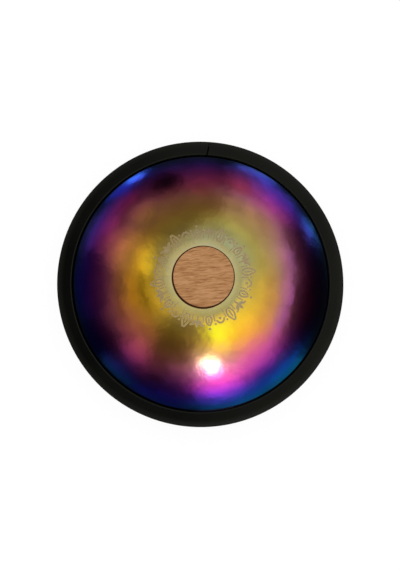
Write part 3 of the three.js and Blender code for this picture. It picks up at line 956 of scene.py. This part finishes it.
# What the polished dome mirrors: soft lamps, lit walls and dark cards round the drum, from the furthest to
# the nearest, each covering what lies behind it. Each is named for where it shows in the picture, and has
# its azimuth from +X, its angle from straight up, its half width, its half height, how hard its edge is
# (1 is a plain glow), and its red, green and blue. Angles are in degrees.
CARDS = (
    ("ceiling", 100, 12, 62, 44, 1.5, (0.47, 0.48, 0.49)),
    ("upper_shade", 108, 48, 30, 24, 1.5, (0.17, 0.17, 0.18)),
    ("left_wall", 178, 44, 28, 24, 1.5, (0.32, 0.3, 0.16)),
    ("cool_panel", 26, 38, 34, 32, 4, (0.5, 0.68, 1.05)),
    ("cool_upper", 52, 67, 22, 14, 2, (0.48, 0.64, 0.62)),
    ("warm_panel", -28, 38, 28, 30, 3, (0.74, 0.78, 0.66)),
    ("right_rim", -4, 96, 24, 20, 2, (0.04, 0.02, 0.01)),
    ("right_strip", -8, 60.5, 34, 5.6, 2, (0.54, 0.52, 1.2)),
    ("zenith", -58, 12, 13, 8, 1.2, (1.15, 1, 0.6)),
    ("zenith_left", 192, 12, 12, 9, 1.2, (0.76, 0.7, 0.54)),
    ("near_left", 206, 22, 10, 9, 1.5, (0.8, 0.7, 0.24)),
    ("daylight", -50, 32, 18, 26, 1.5, (1.36, 1.3, 0.45)),
    ("daylight_low", -54, 68, 20, 20, 1.5, (1.15, 0.66, 1.55)),
    ("yellow_glow", -67.5, 33, 8, 14, 1.5, (1.45, 1.7, 0.25)),
    ("yellow_lamp", -70, 32, 5.2, 8, 1.5, (1.55, 2.3, 0.22)),
    ("south_shade", 255, 22, 7, 12, 1.5, (0.42, 0.37, 0.36)),
    ("wedge_side", 257, 48, 12, 34, 1.5, (0.24, 0.22, 0.27)),
    ("low_left_blue", 250, 98, 18, 13, 1.5, (0.13, 0.08, 0.18)),
    ("low_rim", -60, 98, 25, 15, 1.5, (0.17, 0.95, 0.78)),
    ("low_rim_right", -40, 100, 9, 13, 1.5, (0.13, 1.3, 0.9)),
    ("key_glow", -79, 62, 11.5, 21, 1.2, (1.7, 2.3, 2.6)),
    ("key_foot", -77, 79, 12.5, 12.5, 1.2, (4.8, 2, 3.6)),
    ("key", -81.5, 57, 6.3, 8.3, 2, (7, 11, 12)),
    ("right_spot", 29, 103, 6, 9, 1.5, (0.6, 1.35, 1.4)),
    ("right_pink", 49, 91, 12, 16, 1.5, (0.92, 0.6, 1.2)),
    ("top_right_spot", 63, 102, 8, 15, 1.5, (1, 1.15, 2)),
    ("top_right_pink", 67, 92, 8, 16, 1.5, (0.68, 0.4, 0.36)),
    ("top_brown", 88, 88, 10, 18, 1.5, (0.29, 0.13, 0.19)),
    ("top_haze", 100, 88, 20, 18, 1.5, (0.24, 0.15, 0.18)),
    ("black_patch", 107, 84, 9, 13, 2, (0.01, 0.01, 0.01)),
    ("top_left_pink", 129, 92, 7, 11, 1.5, (0.56, 0.22, 0.26)),
    ("top_left_glow", 123, 107, 8, 9, 1.2, (0.3, 0.36, 1.15)),
    ("top_left_spot", 118, 108, 3.5, 5, 1.2, (1.3, 3.1, 4.7)),
    ("upper_left", 128, 68, 9, 9, 1.5, (0.34, 0.38, 0.22)),
    ("left_upper", 153, 60, 10, 28, 1.5, (0.54, 0.52, 0.3)),
    ("left_pink", 148, 91, 14, 15, 1.5, (0.72, 0.38, 0.52)),
    ("left_spot", 158, 36, 8, 9, 1.5, (1.05, 1, 0.26)),
    ("left_block", 192, 37, 16, 14, 2, (0.52, 0.46, 0.13)),
    ("left_dark_line", 189, 36, 15, 2.5, 1.5, (0.2, 0.18, 0.05)),
    ("left_gold_line", 185, 46, 13, 3, 1.5, (0.5, 0.44, 0.1)),
    ("left_brown_line", 192, 57, 14, 4, 1.5, (0.19, 0.16, 0.08)),
    ("left_low", 216, 52, 12, 16, 1.5, (0.36, 0.27, 0.24)),
    ("left_lower", 227, 67, 11, 15, 1.3, (0.52, 0.33, 0.38)),
    ("left_rim", 176, 84, 20, 24, 2, (0.08, 0.05, 0.11)),
    ("left_dark_rim", 207, 97, 12, 20, 1.5, (0.03, 0.01, 0.03)),
    ("low_left_rim", 225, 94, 10, 11, 1.5, (0.13, 0.26, 0.22)),
    ("dark_wedge", 243, 46, 10, 24, 1.8, (0.1, 0.1, 0.06)),
)
ROOM = (0.05, 0.05, 0.03)
# The mirrored floor, and the angles from straight up, in degrees, where it starts to show and is full
FLOOR_LIGHT = (0.45, 0.45, 0.45)
FLOOR_FADE = (116, 138)
STUDIO_LIGHT = (1.05, 1.05, 1.05)
# How much brighter or darker than its own colour a spot on the cards can be, as a share
HAZE = 0.2
# Span within which the cards' edges stray from their ellipses, as a share of the distance to them
RAGGEDNESS = 0.3
# How many spots of haze, and how many ragged bends, there are in a sight line's length
SPOTS = 7
# Cards whose edges aren't ragged
EVEN_CARDS = ("key", "key_glow", "key_foot", "yellow_lamp", "top_left_spot", "black_patch",
              "left_dark_line", "left_gold_line")


def light_studio():
    """The world: mirror-like surfaces see the cards, and matt ones an even white light. With q the sight line
    less the line to a card's middle, measured in its half widths, the card covers exp(-(q.q) ** hardness)."""
    world = bpy.data.worlds.new("studio")
    bpy.context.scene.world = world
    world.use_nodes = True
    world.cycles.sampling_method = "NONE"
    tree = world.node_tree
    tree.nodes.clear()
    straight = add_node(tree, "TexCoord").outputs["Generated"]
    rag = add_node(tree, "TexNoise", {"Vector": straight, "Scale": SPOTS, "Detail": 6, "Roughness": 0.6})
    middle = add_node(tree, "VectorMath", {0: rag.outputs["Color"], 1: (0.5, 0.5, 0.5)}, operation="SUBTRACT")
    sight = add_node(tree, "VectorMath", {
        0: middle.outputs[0], 1: (RAGGEDNESS,) * 3, 2: straight}, operation="MULTIPLY_ADD").outputs[0]
    height = add_node(tree, "SeparateXYZ", {0: sight}).outputs["Z"]
    starts, full = (math.cos(math.radians(angle)) for angle in FLOOR_FADE)
    below = add_node(tree, "MapRange", {"Value": height, "From Min": starts, "From Max": full})
    total = add_node(tree, "Mix", {0: below.outputs[0], 4: ROOM, 5: FLOOR_LIGHT}, data_type="VECTOR")
    for name, azimuth, polar, half_width, half_height, hardness, colour in CARDS:
        azimuth, polar = math.radians(azimuth), math.radians(polar)
        size = np.radians((half_height, half_width, math.sqrt(half_width * half_height)))
        offset = add_node(tree, "Mapping", {
            "Vector": straight if name in EVEN_CARDS else sight, "Location": direction(azimuth, polar),
            "Rotation": (0, polar, azimuth), "Scale": size.tolist()}, vector_type="TEXTURE")
        square = add_node(tree, "VectorMath", {0: offset.outputs[0], 1: offset.outputs[0]},
                          operation="DOT_PRODUCT")
        edge = add_node(tree, "Math", {0: square.outputs["Value"], 1: hardness}, operation="POWER")
        cover = add_node(tree, "Math", {0: math.exp(-1), 1: edge.outputs[0]}, operation="POWER")
        total = add_node(tree, "Mix", {
            0: cover.outputs[0], 4: total.outputs[1], 5: colour}, data_type="VECTOR")
    spots = add_node(tree, "TexNoise", {"Vector": straight, "Scale": SPOTS, "Detail": 3})
    haze = add_node(tree, "MapRange", {
        "Value": spots.outputs["Fac"], "From Min": 0.3, "From Max": 0.7,
        "To Min": 1 - HAZE, "To Max": 1 + HAZE})
    hazed = add_node(tree, "VectorMath", {0: total.outputs[1], "Scale": haze.outputs[0]}, operation="SCALE")
    path = add_node(tree, "LightPath")
    is_even = add_node(tree, "Math", {
        0: path.outputs["Is Camera Ray"], 1: path.outputs["Is Diffuse Ray"]}, operation="MAXIMUM")
    seen = add_node(tree, "Mix", {
        0: is_even.outputs[0], 4: hazed.outputs[0], 5: STUDIO_LIGHT}, data_type="VECTOR")
    back = add_node(tree, "Background", {"Color": seen.outputs[1]})
    add_node(tree, "OutputWorld", {"Surface": back.outputs[0]})


# The paper floor: half its side in millimetres, and how much it glows
FLOOR_HALF = 3000
FLOOR_GLOW = 0.87


def add_floor():
    """A wide white paper floor that glows a little, so that it stays as white as the backdrop."""
    mesh = bpy.data.meshes.new("floor")
    corners = np.array(((-1, -1, 0), (1, -1, 0), (1, 1, 0), (-1, 1, 0))) * FLOOR_HALF * MM
    mesh.from_pydata(corners.tolist(), [], [(0, 1, 2, 3)])
    material, tree, shader = new_material("white_paper")
    set_sockets(tree, shader, {
        "Base Color": linear("#6f6f6f"), "Roughness": 1, "Specular IOR Level": 0,
        "Emission Color": linear("#ffffff"), "Emission Strength": FLOOR_GLOW})
    mesh.materials.append(material)
    floor = bpy.data.objects.new("floor", mesh)
    bpy.context.collection.objects.link(floor)
    floor.visible_glossy = False


add_camera()
light_studio()
add_floor()
bpy.context.scene.view_settings.view_transform = "Standard"
